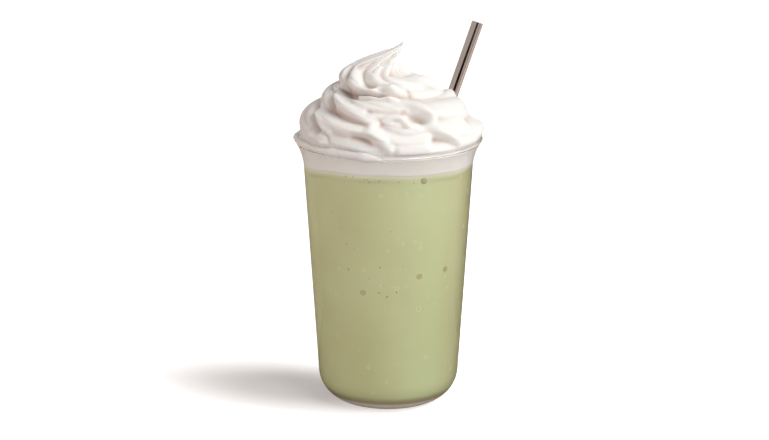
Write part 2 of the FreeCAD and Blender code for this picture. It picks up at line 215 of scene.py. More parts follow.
def new_finish(name):
    """A new material: the material, its node tree and its Principled shader."""
    finish = bpy.data.materials.new(name)
    finish.use_nodes = True
    return finish, finish.node_tree, finish.node_tree.nodes["Principled BSDF"]


def add_math(tree, kind, *values):
    """A sum, product or the like of numbers and outputs."""
    return add_node(tree, "Math", dict(enumerate(values)), operation=kind).outputs[0]


def smooth_step(tree, value, none, full, low=0.0, high=1.0):
    """A smooth rise, low + (high - low)(3 share^2 - 2 share^3), from the value none to full."""
    inputs = {"Value": value, "From Min": none, "From Max": full, "To Min": low, "To Max": high}
    return add_node(tree, "MapRange", inputs, interpolation_type="SMOOTHSTEP").outputs[0]


def object_place(tree):
    """The place of a point on its object."""
    return add_node(tree, "TexCoord", {}).outputs["Object"]


def axis_mask(tree, axis, full, none, both_sides=False):
    """A smooth mask along one of the object's axes: 1 at the place full, 0 at the place none.

    both_sides measures the distance from the middle instead, so the mask is the same either side.
    """
    along = add_node(tree, "SeparateXYZ", {0: object_place(tree)}).outputs[axis]
    return smooth_step(tree, add_math(tree, "ABSOLUTE", along) if both_sides else along, none, full)


def mix_colours(tree, mask, first, second):
    """Mix two colours, or two colour outputs, by a mask."""
    inputs = {"Factor": mask, "A": first, "B": second}
    return add_node(tree, "Mix", inputs, data_type="RGBA").outputs["Result"]


def ray_masks(tree):
    """Two masks: for rays that see a thing directly or through plastic, and for mirror rays."""
    path = add_node(tree, "LightPath", {}).outputs
    seen = add_math(tree, "MAXIMUM", path["Is Camera Ray"], path["Is Transmission Ray"])
    return seen, path["Is Glossy Ray"]


# %% [markdown]
# ## Sky
#
# A plain white sky fills what the lamps leave. One strength would not do: a sky bright enough to
# look white would wash out the folds. So it lights the cup weakly, looks brighter in mirrors, and
# is full white to the camera and through the clear plastic.

# %% Sky
SKY_LIGHT, SKY_MIRRORED, SKY_SEEN = 0.27, 0.18, 1.0
world = bpy.data.worlds.new("sky")
bpy.context.scene.world = world
world.use_nodes = True
sky = world.node_tree
seen, mirrored = ray_masks(sky)
strength = smooth_step(sky, seen, 0, 1, SKY_LIGHT, SKY_SEEN)
strength = add_math(sky, "MULTIPLY_ADD", mirrored, SKY_MIRRORED, strength)
fill(sky, sky.nodes["Background"], {"Color": (1, 1, 1), "Strength": strength})
bpy.context.scene.view_settings.view_transform = "Standard"
print("sky:", SKY_LIGHT, "on the cup,", SKY_SEEN, "to the camera")

# %% [markdown]
# ## Dark cards
#
# Clear plastic and polished steel show little but what they mirror, and with white all round them
# they would vanish. In a studio, dark cards give them edges. One card stands where the camera is
# and draws a dark stripe down the straw, and two low ones behind the cup darken its sides. Only
# mirror rays see them, so they cast no shadow and hide nothing.

# %% Dark cards
def add_card(name, left, right, back, bottom, top, colour, inner, outer):
    """An upright dark card across the view, hidden from every ray but mirror rays.

    It is solid up to the distance inner from the middle and fades out towards outer.
    """
    corners = [(left, back, bottom), (right, back, bottom), (right, back, top), (left, back, top)]
    card = add_mesh(name, corners, [(0, 3, 2, 1)], smooth=False)
    for rays in ("camera", "diffuse", "transmission", "shadow"):
        setattr(card, "visible_" + rays, False)
    finish, tree, shader = new_finish(name)
    fill(tree, shader, {"Base Color": colour, "Specular IOR Level": 0.0,
                        "Alpha": axis_mask(tree, "X", inner, outer, both_sides=True)})
    card.data.materials.append(finish)
    return card


cards = [add_card("front_card", -0.55, 0.80, -1.5, -0.1, 1.0, (0.02, 0.012, 0.008), 1, 2),
         add_card("left_card", -0.4, -0.042, 0.07, 0, 0.106, (0.5, 0.45, 0.36), 0.05, 0.3),
         add_card("right_card", 0.042, 0.4, 0.07, 0, 0.106, (0.08, 0.07, 0.05), 0.05, 0.3)]
print("cards:", [card.name for card in cards])

# %% [markdown]
# ## Floor
#
# The cup stands on a pale floor without a visible end. It is one large square, matte, so that it
# takes a soft shadow. A floor that is only lit turns grey far away, so this one also glows, for
# camera rays and for rays through clear plastic: weakly in an oval round the shadow, and more
# outside it, until it runs out into a white ground. Near the cup, mirror rays see it dark, which
# draws the foot of the cup and the lower side of the straw.

# %% Floor
FLOOR_HALF = 4.0
GROUND, GROUND_MIRRORED = (0.6, 0.55, 0.54), (0.14, 0.125, 0.09)
GLOW_NEAR, GLOW_FAR = 0.28, 0.9
corners = FLOOR_HALF * np.array([(-1, -1, 0), (1, -1, 0), (1, 1, 0), (-1, 1, 0)])
floor = add_mesh("floor", corners, [(0, 1, 2, 3)], smooth=False)
print("floor", 2 * FLOOR_HALF, "m wide")

# %% Floor finish
pale_floor, tree, matte = new_finish("pale_floor")
oval = add_node(tree, "Mapping", {"Vector": object_place(tree), "Location": (-0.05, 0.012, 0),
                                  "Rotation": (0, 0, math.radians(-20)),
                                  "Scale": (1.05, 0.52, 1)}, vector_type="TEXTURE")
length = add_node(tree, "VectorMath", {0: oval.outputs[0]}, operation="LENGTH")
distance = length.outputs["Value"]
seen, mirrored = ray_masks(tree)
near_mirror = add_math(tree, "MULTIPLY", smooth_step(tree, distance, 0.5, 0.15), mirrored)
fill(tree, matte, {"Base Color": mix_colours(tree, near_mirror, GROUND, GROUND_MIRRORED),
                   "Roughness": 0.9, "Specular IOR Level": 0.1})
spread = smooth_step(tree, distance, 0.02, 0.11, GLOW_NEAR, GLOW_FAR)
glow = add_node(tree, "Emission", {"Strength": add_math(tree, "MULTIPLY", seen, spread)})
both = add_node(tree, "AddShader", {0: matte.outputs[0], 1: glow.outputs[0]})
fill(tree, tree.nodes["Material Output"], {"Surface": both.outputs[0]})
floor.data.materials.append(pale_floor)
print("floor glow:", GLOW_NEAR, "near the cup,", GLOW_FAR, "away from it")

# %% [markdown]
# ## The section of the cup
#
# The cup is moulded in one thin wall, so one drawing of its section gives every round surface that
# follows: the cup itself, the drink inside it and the cream under the lip. The section runs along
# a round base corner, up a straight tapering wall and into a flare that opens towards the rim. The
# wall touches the corner's arc, and the flare's arc leaves the wall and runs into the round bead.

# %% Section sizes
WALL = 0.6 * MM
BEAD = 0.9 * MM
CORNER = 16.6 * MM
BASE_RADIUS = 36.9 * MM
LIP_WIDTH, LIP_HEIGHT = 5.0 * MM, 16.0 * MM
corner_centre = np.array([BASE_RADIUS - CORNER, CORNER])
neck = np.array([RIM_RADIUS - LIP_WIDTH, RIM_HEIGHT - LIP_HEIGHT])
bead_centre = np.array([RIM_RADIUS - BEAD, RIM_HEIGHT - BEAD])
to_neck = neck - corner_centre
slope = math.atan2(to_neck[0], to_neck[1]) - math.asin(CORNER / math.hypot(*to_neck))
outward = np.array([math.cos(slope), -math.sin(slope)])
to_bead = neck - bead_centre
flare = (to_bead @ to_bead - BEAD ** 2) / (2 * (BEAD - outward @ to_bead))
flare_centre = neck + flare * outward
corner_end = corner_centre[1] + CORNER * outward[1]
print("wall leans", round(math.degrees(slope), 2), "degrees, flare radius",
      round(flare / MM, 1), "mm")


def skin_radius(height, depth):
    """The radius of the surface a depth inside the cup's outer skin, at each height.

    Corner: centre + sqrt((corner - depth)^2 - (centre height - height)^2).
    Wall: the neck's radius less depth / cos(slope), less the taper times the drop.
    Flare: centre - sqrt((flare + depth)^2 - (height - centre height)^2).
    """
    height = np.asarray(height, float)
    under = np.clip(corner_centre[1] - height, 0, CORNER - depth)
    corner = corner_centre[0] + np.sqrt((CORNER - depth) ** 2 - under ** 2)
    wall = neck[0] - depth / math.cos(slope) + (height - neck[1]) * math.tan(slope)
    over = np.clip(height - flare_centre[1], 0, flare)
    lip = flare_centre[0] - np.sqrt((flare + depth) ** 2 - over ** 2)
    return np.where(height < corner_end, corner, np.where(height < neck[1], wall, lip))

# %% [markdown]
# ## The clear cup
#
# A moulded cup is one closed skin: up the outside, over the bead and down the inside. Turning its
# section gives that skin in one piece, with points close together where the section bends. The
# underside has a shallow recess inside a narrow foot ring, so that the cup stands on the ring.

# %% Curves of the section
def arc(centre, radius, first, last, count):
    """Points on an arc: centre + radius (cos angle, sin angle), from one angle to the other."""
    angle = np.linspace(first, last, count)
    return np.stack([centre[0] + radius * np.cos(angle), centre[1] + radius * np.sin(angle)], -1)


def run(first, last, count):
    """Evenly spaced points on the straight run between two points, without the last."""
    share = np.linspace(0, 1, count, endpoint=False)[:, None]
    return np.asarray(first) * (1 - share) + np.asarray(last) * share


def ease(share):
    """Smooth rise from 0 to 1: 3 share^2 - 2 share^3."""
    share = np.clip(share, 0, 1)
    return share * share * (3 - 2 * share)


# %% Where the runs of the section meet
BASE_THICKNESS = 2.8 * MM
AXIS_GAP = 0.4 * MM
flare_turn = math.atan2(bead_centre[1] - flare_centre[1], flare_centre[0] - bead_centre[0])
lip_gap = BEAD ** 2 + (flare + BEAD) ** 2 - (flare + WALL) ** 2
lip_angle = 2 * math.pi - flare_turn - math.acos(lip_gap / (2 * (flare + BEAD) * BEAD))
RING_WIDTH, RECESS_SLOPE, RECESS_DEPTH = 2.8 * MM, 3.0 * MM, 1.6 * MM
ring = corner_centre[0] - RING_WIDTH
recess = ring - RECESS_SLOPE
outer_wall = corner_centre + CORNER * outward
inner_wall = corner_centre + (CORNER - WALL) * outward
inner_neck = neck - WALL * outward
lip_end = bead_centre + BEAD * np.array([math.cos(lip_angle), math.sin(lip_angle)])
inner_turn = math.atan2(lip_end[1] - flare_centre[1], flare_centre[0] - lip_end[0])


def inner_corner(extra, count):
    """The inside of the bottom corner: it leaves the wall and turns into the floor.

    Its radius shrinks from corner - wall to corner - base thickness as 3 share^2 - 2 share^3 of
    its turn, so the plastic gets thicker towards the foot. extra lets a skin reach into it.
    """
    share = np.linspace(0, 1, count)
    angle = -slope - (math.pi / 2 - slope) * share
    radius = CORNER - WALL + extra - (BASE_THICKNESS - WALL) * ease(share)
    return np.stack([corner_centre[0] + radius * np.cos(angle),
                     corner_centre[1] + radius * np.sin(angle)], axis=-1)


# %% Cup
ROUND = 288
cup_section = np.concatenate([
    run((AXIS_GAP, RECESS_DEPTH), (recess, RECESS_DEPTH), 8),
    run((recess, RECESS_DEPTH), (ring, 0), 6),
    run((ring, 0), (corner_centre[0], 0), 4),
    arc(corner_centre, CORNER, -math.pi / 2, -slope, 32)[:-1],
    run(outer_wall, neck, 40),
    arc(flare_centre, flare, math.pi - slope, math.pi - flare_turn, 24)[:-1],
    arc(bead_centre, BEAD, -flare_turn, lip_angle, 26)[:-1],
    arc(flare_centre, flare + WALL, math.pi - inner_turn, math.pi - slope, 24)[:-1],
    run(inner_neck, inner_wall, 40),
    inner_corner(0, 28)[:-1],
    run((corner_centre[0], BASE_THICKNESS), (AXIS_GAP, BASE_THICKNESS), 10),
    [(AXIS_GAP, BASE_THICKNESS)],
])
radius, height = cup_section.T
cup = add_surface("clear_cup", around(radius, round_angles(ROUND), height),
                  start=(0, 0, RECESS_DEPTH), end=(0, 0, BASE_THICKNESS))
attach(cup, "root")
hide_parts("cup")
print("cup skin:", len(cup.data.polygons), "faces")

# %% [markdown]
# ## The drink
#
# A blended drink wets the cup all the way down, so there is no air between the two. If the drink
# stopped exactly at the wall, light would catch in the gap, so its skin reaches a little way into
# the plastic. Its level is not flat: the cream presses it into low waves, higher on the right.

# %% Drink
INTO_WALL = 0.35 * MM


def level_height(angle):
    """The drink's level round the wall.

    On the measured level, 1.6 cos(angle + 0.8) leans it up to the right front, -0.6 cos(angle)^2
    lowers both sides, 2.2 exp(8 (cos(angle + 2.1) - 1)) lifts the left front, and two low waves
    with 5 and 9 crests run round, all in mm.
    """
    tilt = 1.6 * np.cos(angle + 0.8) - 0.6 * np.cos(angle) ** 2
    tilt = tilt + 2.2 * np.exp(8 * (np.cos(angle + 2.1) - 1))
    waves = 0.35 * np.cos(5 * angle + 0.6) + 0.22 * np.cos(9 * angle + 2.0)
    return LEVEL + (tilt + waves) * MM


def drink_grid(count, rows):
    """The drink's skin: out along the floor, round the corner, up the wall and in at its level.

    Up the wall the rows crowd towards the level, as 1 - (1 - share)^1.5.
    """
    angle = round_angles(count)
    corner = inner_corner(WALL - INTO_WALL, 24)[::-1]
    inside = np.concatenate([run((AXIS_GAP, corner[0, 1]), corner[0], 10), corner])
    top = level_height(angle)
    share = 1 - (1 - np.linspace(0, 1, rows)[None, 1:]) ** 1.5
    height = corner[-1, 1] + (top - corner[-1, 1]) * share
    radius = skin_radius(height, INTO_WALL)
    inner = np.linspace(0.97, 0.01, 8)[None, :]
    base_radius, base_height = np.broadcast_to(inside.T[:, None], (2, count, len(inside)))
    height = np.concatenate([base_height, height, top + 0 * inner], axis=1)
    radius = np.concatenate([base_radius, radius, radius[:, -1:] * inner], axis=1)
    return around(radius, angle, height)


grid = drink_grid(ROUND, 120)
drink_floor, drink_top = (0, 0, grid[0, 0, 2]), (0, 0, float(level_height(0.0)))
drink = add_surface("frappe_drink", grid, start=drink_floor, end=drink_top)
drink.data.set_sharp_from_angle(angle=math.radians(50))
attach(drink, "root")
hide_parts("frappe")
print("drink:", len(drink.data.polygons), "faces")

# %% [markdown]
# The drink is not one even green. Pale froth stands at its level, with a thin line of painted
# shade under it. The bottom corner gets painted shade at the left and the right, and painted shade
# makes the drink browner at the right and, weakly, at the left front, with a painted light of
# fresher green at the right front, where the light falls. These are stored as numbers on the
# points, from 0 to 1, and the finish mixes its colours by them.

# %% Where the drink's colour changes
def hump(value, middle, width):
    """1 at the middle and less to both sides: exp(-((value - middle) / width)^2)."""
    return np.exp(-((value - middle) / width) ** 2)


FROTH_WIDTH = 1.7
UNDER_FROTH_SHADE, UNDER_FROTH_SHADE_DEPTH, UNDER_FROTH_SHADE_WIDTH = 0.1, 3.4, 1.1
CORNER_PAINTED_SHADE, CORNER_HEIGHT = 0.16, 19 * MM
RIGHT, RIGHT_FRONT, LEFT_FRONT = -3, -62, -126
angle = round_angles(ROUND)
# Degrees run from -300 to 60, so that no jump falls on the front, which is at -90.
degrees = np.degrees(angle) - 360 * (angle > math.radians(60))
depth = (level_height(angle) - grid[..., 2]) / MM
# Froth: a hump at the level. Painted shade: a hump below it that comes and goes seven times round.
foam = hump(np.clip(depth, 0, None), 0, FROTH_WIDTH)
under_froth_shade = UNDER_FROTH_SHADE * hump(depth, UNDER_FROTH_SHADE_DEPTH, UNDER_FROTH_SHADE_WIDTH) * (1.2 + np.sin(7 * angle + 1))
# Painted shade at the corner: |cos(angle)|^2.5, less with the height. Painted shade and painted
# light at the sides: humps round three places of the wall.
low = np.clip(1 - grid[..., 2] / CORNER_HEIGHT, 0, 1)
corner = CORNER_PAINTED_SHADE * np.abs(np.cos(angle)) ** 2.5 * low
side_painted_shade = 0.45 * hump(degrees, RIGHT, 31) + 0.08 * hump(degrees, LEFT_FRONT, 26)
front_painted_light = 0.6 * hump(degrees, RIGHT_FRONT, 30) * np.ones_like(foam)
add_values(drink, "foam", foam, end=1.0)
# The shade value holds the drink's painted shade, and the value after it holds its painted light.
add_values(drink, "shade", np.clip(under_froth_shade + corner + side_painted_shade, 0, 1))
add_values(drink, "painted_light", front_painted_light)
print("shade of the drink: up to", round(float((under_froth_shade + corner + side_painted_shade).max()), 2))

# %% [markdown]
# ## Bubbles and specks in the drink
#
# Blending leaves bubbles against the plastic and a few coarse specks of tea. Each one is a small
# flat body that sits in the drink's skin: a round blob, or a ring where a bubble is flattened by
# the wall. One unit shape is turned to the wall at every place and scaled, all at once.

# %% Places of specks and bubbles
# Each place is the angle round the cup in degrees, and the height and the radius in mm.
SPECKS = [(-109, 68.4, 1.9), (-67, 76.8, 1.9), (-44, 78.1, 1.9), (-66, 128.2, 2.4)]
PORES = [(-91, 66.6, 0.9), (-84, 69.0, 0.8), (-97, 68.7, 0.8), (-104, 76.0, 0.5),
         (-96, 82.3, 0.7), (-120, 79.9, 0.9), (-121, 93.4, 0.7), (-104, 128.9, 0.5),
         (-83, 127.9, 0.6), (-119, 129.8, 0.6), (-114, 129.9, 0.5), (-106, 129.1, 0.5),
         (-103, 127.6, 0.7), (-96, 128.4, 0.7), (-73, 126.8, 0.6), (-115, 91.2, 0.5),
         (-132, 109.3, 0.6), (-125, 101.5, 0.5)]
RINGS = [(-67, 59.0, 1.4), (-77, 72.0, 0.8), (-67, 92.0, 1.1), (-67, 94.9, 0.8),
         (-90, 91.3, 0.8), (-78, 121.2, 0.7), (-95, 120.8, 0.8), (-23, 97.7, 1.0),
         (-95, 72.8, 0.8), (-73, 69.1, 0.8), (-32, 125.8, 0.8), (-108, 80.4, 0.7),
         (-53, 60.7, 0.6), (-87, 71.8, 0.6)]
chance = np.random.default_rng(7)


def scattered(count, small, large):
    """Random places round the wall as (angle in degrees, height in mm, radius in mm)."""
    angle = chance.uniform(-180, 180, count)
    height = chance.uniform(12, 125, count)
    return np.stack([angle, height, chance.uniform(small, large, count)], axis=-1)


# %% Shapes of specks and bubbles
def blob_shape():
    """A unit ball as (side, up, out), whose poles are two tiny rings.

    (sin tilt cos turn, sin tilt sin turn, cos tilt), with the tilt from pole to pole.
    """
    tilt = np.linspace(0.05, np.pi - 0.05, 9)[None, :]
    return around(np.sin(tilt), round_angles(14), np.cos(tilt))


def ring_shape():
    """A unit ring as (side, up, out): radius 1 + 0.2 cos b in the wall, 0.3 sin b out of it."""
    bend = round_angles(8).T
    return around(1 + 0.2 * np.cos(bend), round_angles(22), 0.3 * np.sin(bend))


# %% Specks and bubbles
def add_scatter(name, shape, places, sink, depth, joined=False):
    """Copies of a unit shape on the drink's skin, scaled by each radius, as one mesh.

    Each copy is rolled in the wall, (side cos - up sin, side sin + up cos), with up squashed by a
    little. Its centre lies sink below the skin, and out of the wall it is depth thick at the most.
    A ring is joined to itself both ways, and a ball's poles are closed with one face each.
    """
    angle, height, size = np.asarray(places, float).T
    angle, height, size = np.radians(angle), height * MM, size * MM
    out = np.stack([np.cos(angle), np.sin(angle), 0 * angle], axis=-1)
    side = np.stack([-np.sin(angle), np.cos(angle), 0 * angle], axis=-1)
    centre = out * (skin_radius(height, INTO_WALL) - sink)[:, None]
    centre[:, 2] = height
    squash = chance.uniform(0.72, 1.0, (len(size), 1, 1, 1))
    roll = chance.uniform(0, 2 * np.pi, (len(size), 1, 1))
    first = shape[..., 0] * np.cos(roll) - shape[..., 1] * np.sin(roll) * squash[..., 0]
    second = shape[..., 0] * np.sin(roll) + shape[..., 1] * np.cos(roll) * squash[..., 0]
    wide = size[:, None, None]
    flat = np.minimum(size, depth)[:, None, None] * shape[..., 2]
    points = (centre[:, None, None] + (first * wide)[..., None] * side[:, None, None]
              + (second * wide)[..., None] * np.array([0, 0, 1.0])
              + flat[..., None] * out[:, None, None])
    count, around, rows = points.shape[:3]
    index = np.arange(count * around * rows).reshape(count, around, rows)
    faces = grid_faces(index, joined)[..., ::1 if joined else -1].reshape(-1, 4).tolist()
    if not joined:
        faces += index[:, :, 0].tolist() + index[:, ::-1, -1].tolist()
    piece = add_mesh(name, points.reshape(-1, 3), faces)
    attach(piece, "root")
    return piece


specks = add_scatter("tea_specks", blob_shape(), SPECKS, 0.22 * MM, 0.42 * MM)
pores = add_scatter("pores", blob_shape(), np.concatenate([PORES, scattered(110, 0.2, 0.5)]),
                    0.3 * MM, 0.42 * MM)
rings = add_scatter("bubble_rings", ring_shape(), np.concatenate([RINGS, scattered(60, 0.4, 1.0)]),
                    0.02 * MM, 0.4 * MM, joined=True)
print("specks:", [len(piece.data.polygons) for piece in (specks, pores, rings)])

# %% [markdown]
# ## The piped cream
#
# The cream is piped through a star-shaped nozzle: a rope with rounded lobes that starts at the
# right of the rim, winds inwards and upwards for a little over two and a half turns, and is drawn
# off into a curled tip. Each turn sinks softly into the one below. The visible skin could be built
# by sweeping a star along a spiral, but the sweeps would cut through each other. Here the skin is
# found instead: from outside a plain dome, a ray runs inwards for every grid point until it meets
# the cream, and the turns are merged softly where they touch. A low bed of cream fills the rim.

# %% Sizes of the swirl
TURNS = 2.62
ROPE_WIDTH, END_WIDTH = 13.0 * MM, 9.5 * MM
ROPE_HEIGHT, END_HEIGHT = 11.0 * MM, 8.5 * MM
ROPE_START = RIM_RADIUS - 0.4 * MM - ROPE_WIDTH
ROPE_END = 7.0 * MM
START_RISE, END_RISE = 5.0 * MM, 31.0 * MM
NOSE_TURNS = 0.12
LOBES = 7
TIP_TOP = cream_high[2]
TIP_LENGTH = 26.0 * MM
TIP_RADIUS = 21.0 * MM
TIP_TWIST, TIP_LOBE_DEPTH = 2.2, 0.22
HEAP_HEIGHT = 30.0 * MM
BLEND = 22.0
FAR_OUT = 9.0  # the reach of a point that is nowhere near a part
FOOT_RADIUS = RIM_RADIUS - 2 * BEAD + 0.05 * MM
print("rope:", TURNS, "turns with", LOBES, "lobes, from", round(ROPE_START / MM, 1), "mm out to",
      round(ROPE_END / MM, 1), "mm")


# %% Rope, tip and heap
def lobe_depth(turns):
    """How deep the furrows are: 0.09 - 0.07 cos(2 pi (turns - 0.13)), least at the right front."""
    return 0.09 - 0.07 * np.cos(2 * np.pi * (turns - 0.13))


def star(angle, depth):
    """1 on a crest and less in a furrow: 1 - depth (1 - |sin(lobes angle / 2)|)^1.6."""
    return 1 - depth * (1 - np.abs(np.sin(LOBES * angle / 2))) ** 1.6


def rope_reach(radius, height, turns):
    """How far out a point lies in the rope's section after some turns: 1 is on its skin.

    The section's centre moves in as turns^1.7 and up as turns^1.5, and the section gets smaller.
    The reach is the length of (radius / half width, height / half height) from the centre over
    the star's radius in that direction. Past its ends the rope closes in a round nose,
    sqrt(1 - past^2).
    """
    share = np.clip(turns, 0, None) / TURNS
    aside = radius - ROPE_START - (ROPE_END - ROPE_START) * share ** 1.7
    above = height - RIM_HEIGHT - START_RISE - (END_RISE - START_RISE) * share ** 1.5
    aside = aside / (ROPE_WIDTH + (END_WIDTH - ROPE_WIDTH) * share)
    above = above / (ROPE_HEIGHT + (END_HEIGHT - ROPE_HEIGHT) * share)
    past_end = np.maximum(np.maximum(-turns, turns - TURNS), 0) / NOSE_TURNS
    nose = np.sqrt(np.clip(1 - past_end ** 2, 1e-6, 1))
    crest = star(np.arctan2(above, aside) - 2 * np.pi * turns - 0.3, lobe_depth(turns))
    return np.where(past_end < 1, np.hypot(aside, above) / (crest * nose), FAR_OUT)


def tip_reach(radius, height, heading):
    """The same for the tip: a star cone, radius (1 - rise^1.6)^1.5, that turns as it rises.

    It also reaches a quarter of its length down into the heap.
    """
    rise = (height - TIP_TOP) / TIP_LENGTH + 1
    inside = np.clip(rise, 0, 0.9999)
    crest = star(heading + TIP_TWIST * inside + 0.12, TIP_LOBE_DEPTH)
    cone = TIP_RADIUS * (1 - inside ** 1.6) ** 1.5 * crest
    return np.where((rise > -0.25) & (rise < 1), radius / (cone + 1e-6), FAR_OUT)


def heap_reach(radius, height):
    """The same for the heap under the rope: (radius / foot radius)^1.25 + rise / heap height."""
    return (np.abs(radius) / FOOT_RADIUS) ** 1.25 + (height - RIM_HEIGHT) / HEAP_HEIGHT


def in_cream(radius, height, heading):
    """Whether points are in the cream: the sum of exp(-blend reach) over all its parts."""
    total = np.exp(-BLEND * tip_reach(radius, height, heading))
    total = total + np.exp(-BLEND * heap_reach(radius, height))
    for turn in range(-1, 3):
        reach = rope_reach(radius, height, heading / (2 * np.pi) + turn)
        total = total + np.exp(-BLEND * np.minimum(reach, FAR_OUT))
    return total > math.exp(-BLEND)


# %% Skin of the swirl
DOME_FOOT = RIM_HEIGHT + 0.9 * MM
STEEPEST = math.radians(42)


def dome_points(share):
    """Points of the plain dome at shares of its length: radius = rim (1 - rise^1.5)^1.15."""
    rise = np.linspace(0, 1, 2000)
    radius = RIM_RADIUS * (1 - rise ** 1.5) ** 1.15
    height = DOME_FOOT + (TIP_TOP - DOME_FOOT) * rise
    length = np.concatenate([[0], np.cumsum(np.hypot(np.diff(radius), np.diff(height)))])
    goal = share * length[-1]
    return np.interp(goal, length, radius), np.interp(goal, length, height)


def find_skin(heading, share, steps=84, halvings=14):
    """Radius and height where each ray meets the cream, and how far the ray falls per step in.

    A ray starts one rope's width outside the dome and runs inwards and down, steeper further up.
    It steps inwards until it is in the cream, and halving the last step finds the skin.
    """
    radius, height = dome_points(share)
    fall = np.tan(STEEPEST * ease(2 * share))
    axis_height = height - radius * fall
    shape = np.broadcast(heading, share).shape
    outer = np.broadcast_to(radius + ROPE_WIDTH, shape).copy()
    step = outer / steps
    found = np.zeros(shape, bool)
    for _ in range(steps):
        inner = outer - step
        found |= in_cream(inner, axis_height + inner * fall, heading)
        outer = np.where(found, outer, inner)
    inner = np.maximum(outer - step, 0)
    for _ in range(halvings):
        middle = (inner + outer) / 2
        hit = in_cream(middle, axis_height + middle * fall, heading)
        inner, outer = np.where(hit, middle, inner), np.where(hit, outer, middle)
    return inner, axis_height + inner * fall, fall


# %% Curl of the peak
CURL_BACK, CURL_FORWARD = 7.5 * MM, 7.6 * MM


def curl(height):
    """How far the peak is drawn sideways: back by a cosine hump, then forward into the tip."""
    share = np.clip((height - TIP_TOP) / (TIP_LENGTH * 1.25) + 1, 0, 1)
    back = CURL_BACK * (1 - np.cos(2 * np.pi * share)) / 2
    return CURL_FORWARD * ease((share - 0.6) / 0.4) - back


def place(radius, height, heading):
    """Points (radius cos(heading) + curl, -radius sin(heading), height).

    Headings run clockwise from the right, so the front is at a quarter of the round.
    """
    return np.stack([radius * np.cos(heading) + curl(height), -radius * np.sin(heading), height],
                    axis=-1)


# %% [markdown]
# ## Folds drawn one by one
#
# Real cream does not keep the nozzle's lobes all the way. Some ridges run out into a round nose,
# and hollows form below them. Each stroke below is such a ridge or furrow, in mm: how wide it is at
# its two ends, how high, or how deep where it is less than 0, and the places it passes through.

# %% Strokes of the top turn
TOP_STROKES = [
    ((3.5, 5), (1, 3), [(2.6, -2.8, 187.1), (-5.1, -5.2, 184), (-12.2, -5.5, 181.6),
        (-16.7, -6.6, 178.7), (-18.1, -15, 175.2), (-16.7, -18.6, 171.8), (-12.1, -21.1, 168.6),
        (-5.8, -23, 167.3)]),
    ((3.5, 5), (-3.4, -2.8), [(-19.2, -4.5, 178.2), (-21.3, -10.8, 175.9), (-22.4, -12.5, 172),
        (-21.2, -14.2, 166.1)]),
    ((2.5, 3), (-1, -0.3), [(-21.2, -14.2, 166.1), (-15.6, -22.4, 165.8), (-10, -27.6, 165.5),
        (-3.7, -25.5, 165.3)]),
    ((2, 3), (-1, -2.4), [(-8, -7.4, 182), (-12.5, -10, 179.3), (-13.6, -16.2, 176.2),
        (-11.4, -20.8, 172.9), (-7.2, -22.6, 170.3)]),
    ((3, 5), (1, 3.4), [(1.1, -6.2, 182.8), (-5.2, -9, 179.8), (-8.6, -12.1, 176.8),
        (-6.8, -19.6, 174.4), (-1, -22, 171.8), (6.1, -22.1, 168.8)]),
    ((2.5, 4.5), (-0.6, -2), [(-6.5, -22.8, 169.6), (-2.2, -23.4, 168.3), (3.3, -23.3, 166.6),
        (9.5, -21.6, 167)]),
    ((3, 5), (0.6, 1.2), [(5.4, -2.1, 187.1), (2.5, -3.7, 180.2), (-1.3, -11.8, 177.8),
        (1.1, -14.3, 175.2), (8.1, -16, 173), (14.5, -12.2, 171.3)]),
    ((2, 3), (-0.8, -1.4), [(-1, -8.4, 181), (-4.1, -12.5, 177.9), (-2.3, -18, 175.1),
        (3.2, -19.7, 172.8), (8.9, -19.9, 169.8)]),
]

# %% Strokes of the middle turn
MIDDLE_STROKES = [
    ((4, 4.5), (2.6, 2.2), [(-24.6, -1.8, 167.5), (-25.7, -19.1, 165.5), (-22.4, -25.4, 162.9),
        (-16.9, -31.4, 161.1), (-12, -35.6, 158.8), (-7.7, -40.3, 157)]),
    ((5.5, 5), (-4.2, -3), [(-27.7, -9.1, 166.8), (-30, -17.6, 163.6), (-29.1, -21.7, 159.6),
        (-24.6, -31.3, 158), (-18.8, -37.3, 157), (-12.6, -41.4, 156)]),
    ((2.5, 3.5), (-1.8, -0.8), [(-22.8, -8.1, 166.7), (-21, -23.7, 165.7), (-16.8, -30.3, 163.4),
        (-10.7, -34.9, 160.9)]),
    ((5, 7), (1.2, 4.4), [(-14.8, -24.3, 165.5), (-5.1, -28.9, 165.4), (4.7, -25.9, 164.7),
        (12.4, -27.1, 164.3), (17.1, -30.1, 162.9), (19.8, -32.3, 160.1)]),
    ((4, 7), (-1.2, -4.2), [(8.1, -34.9, 161.8), (12.2, -36.4, 159.2), (16.9, -36.4, 157.6)]),
    ((2.5, 3), (1, 2.2), [(-2.4, -38.5, 158.3), (2.5, -37.4, 160.2), (6.7, -37.7, 159.1),
        (9, -40.6, 156.9)]),
    ((3, 4), (-1.4, -1.6), [(-10.5, -33.9, 162.5), (-2.3, -36, 161.9), (5.9, -35.6, 161.7)]),
]

